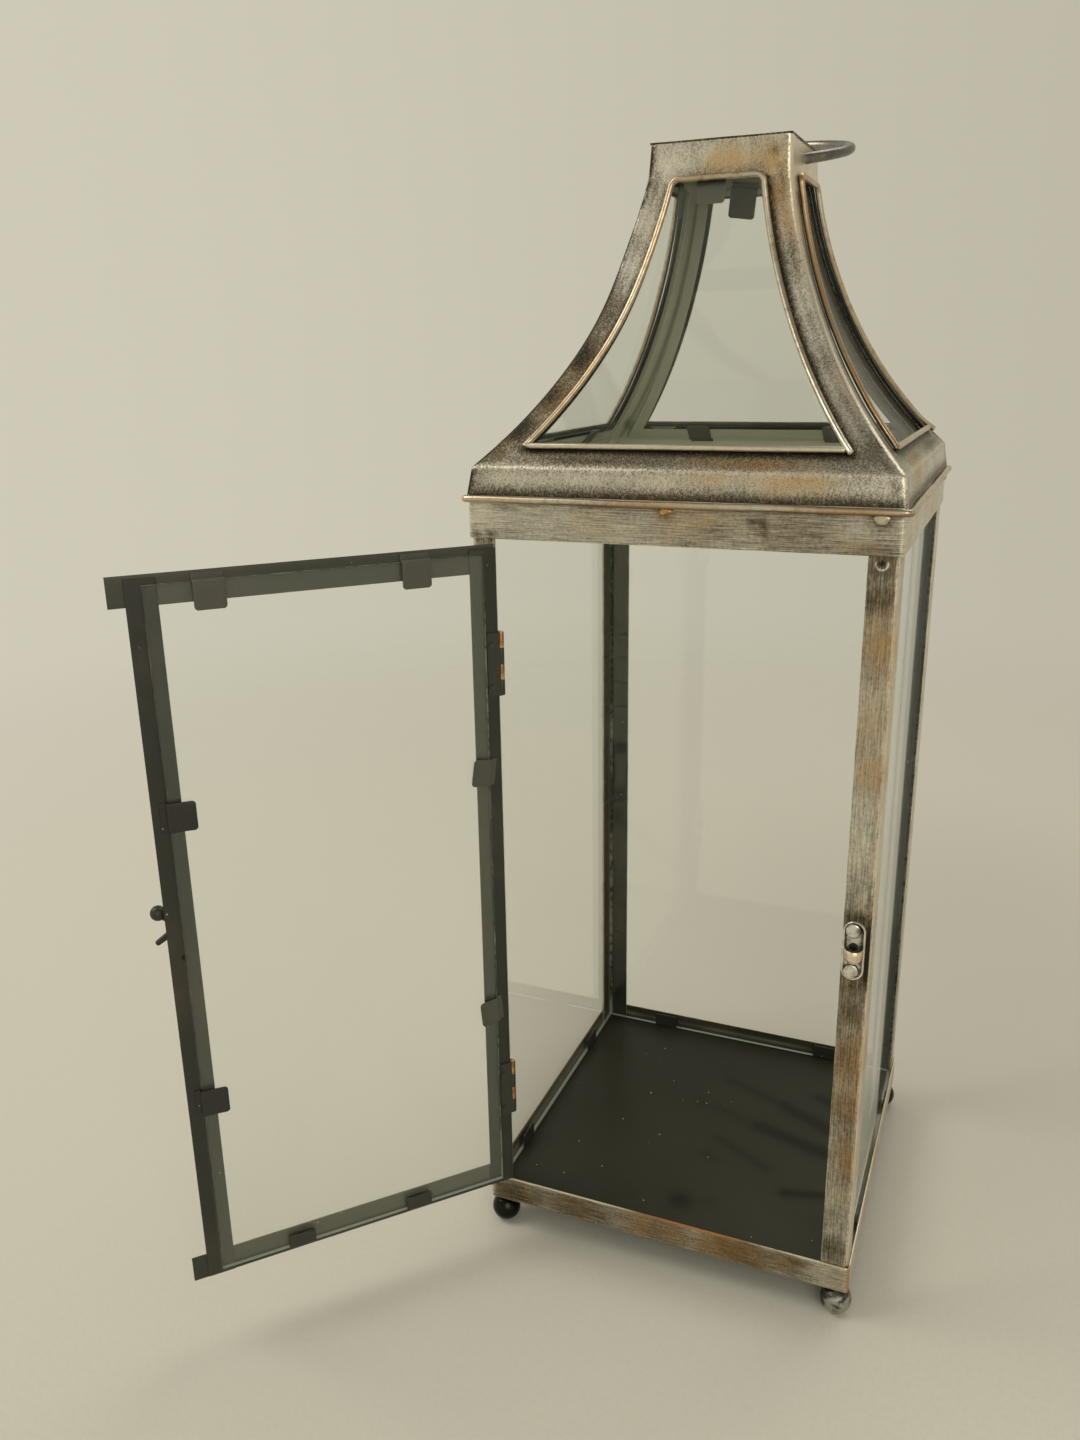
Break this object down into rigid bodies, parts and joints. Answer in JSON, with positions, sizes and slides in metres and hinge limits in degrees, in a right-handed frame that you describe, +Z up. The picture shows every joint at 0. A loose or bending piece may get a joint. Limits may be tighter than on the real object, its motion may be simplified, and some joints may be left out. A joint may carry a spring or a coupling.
{
  "type": "candle lantern",
  "caption": "Tall square metal candle lantern with glazed sides, a hinged glazed door with drop latch, flared roof with curved windows, ball feet and a carrying ring.",
  "frame": {"origin": "centre of the square body's footprint, on the surface it stands on", "axes": "+Z up along the height, which is the longest extent; the door is at -Y and its hinges are at -X"},
  "size_m": [0.3112, 0.3327, 0.5824],
  "materials": {
    "pewter": "antique brushed pewter with brown patina",
    "black_paint": "satin black",
    "copper": "tarnished copper",
    "bright_wire": "worn bright metal",
    "dark_steel": "polished dark metal",
    "glass": "clear"
  },
  "bodies": {
    "frame": {"floor_plate": "black_paint", "eave_wire": "pewter", "solder_spots": "copper", "cap_plate": "pewter", "pane_clips": "black_paint", "roof_clips": "black_paint", "base_rail_front": "pewter", "base_rail_right": "pewter", "base_rail_back": "pewter", "base_rail_left": "pewter", "header_rail_front": "pewter", "header_rail_right": "pewter", "header_rail_back": "pewter", "header_rail_left": "pewter", "post_front_left": "pewter", "post_front_right": "pewter", "post_back_right": "pewter", "post_back_left": "pewter", "foot_front_left": "dark_steel", "foot_front_right": "dark_steel", "foot_back_right": "dark_steel", "foot_back_left": "dark_steel", "roof_panel_front": "pewter", "roof_panel_right": "pewter", "roof_panel_back": "pewter", "roof_panel_left": "pewter", "roof_glass_front": "glass", "roof_glass_right": "glass", "roof_glass_back": "glass", "roof_glass_left": "glass", "window_bead_front": "bright_wire", "window_bead_right": "bright_wire", "window_bead_back": "bright_wire", "window_bead_left": "bright_wire", "pane_right": "glass", "pane_back": "glass", "pane_left": "glass", "hinge_frame_leaf_lower": "copper", "hinge_frame_leaf_upper": "copper", "hinge_pin_lower": "copper", "hinge_pin_upper": "copper", "hinge_frame_rivets": "black_paint", "keeper_plate": "bright_wire", "keeper_rivets": "bright_wire"},
    "door": {"door_rail_top": "pewter", "door_rail_bottom": "pewter", "door_stile_hinge": "pewter", "door_stile_latch": "pewter", "door_glass": "glass", "door_clips": "black_paint", "hinge_door_leaf_lower": "black_paint", "hinge_door_leaf_upper": "black_paint", "hinge_door_rivets": "black_paint", "latch_rivet": "black_paint"},
    "latch": {"latch_lever": "black_paint"},
    "ring": {"carrying_ring": "dark_steel"}
  },
  "joints": [
    {"name": "door_hinge", "type": "hinge", "parent": "frame", "child": "door", "pos_m": [-0.08505, -0.0987, 0.207], "axis": [0, 0, 1], "range_deg": [0, 132.3]},
    {"name": "latch_turn", "type": "hinge", "parent": "door", "child": "latch", "pos_m": [-0.1969, -0.21791, 0.213], "axis": [-0.7396, 0.673, 0], "range_deg": [-58.7, 60]},
    {"name": "ring_swing", "type": "hinge", "parent": "frame", "child": "ring", "pos_m": [0, 0.002, 0.5624], "axis": [1, 0, 0], "range_deg": [-25, 180]}
  ]
}
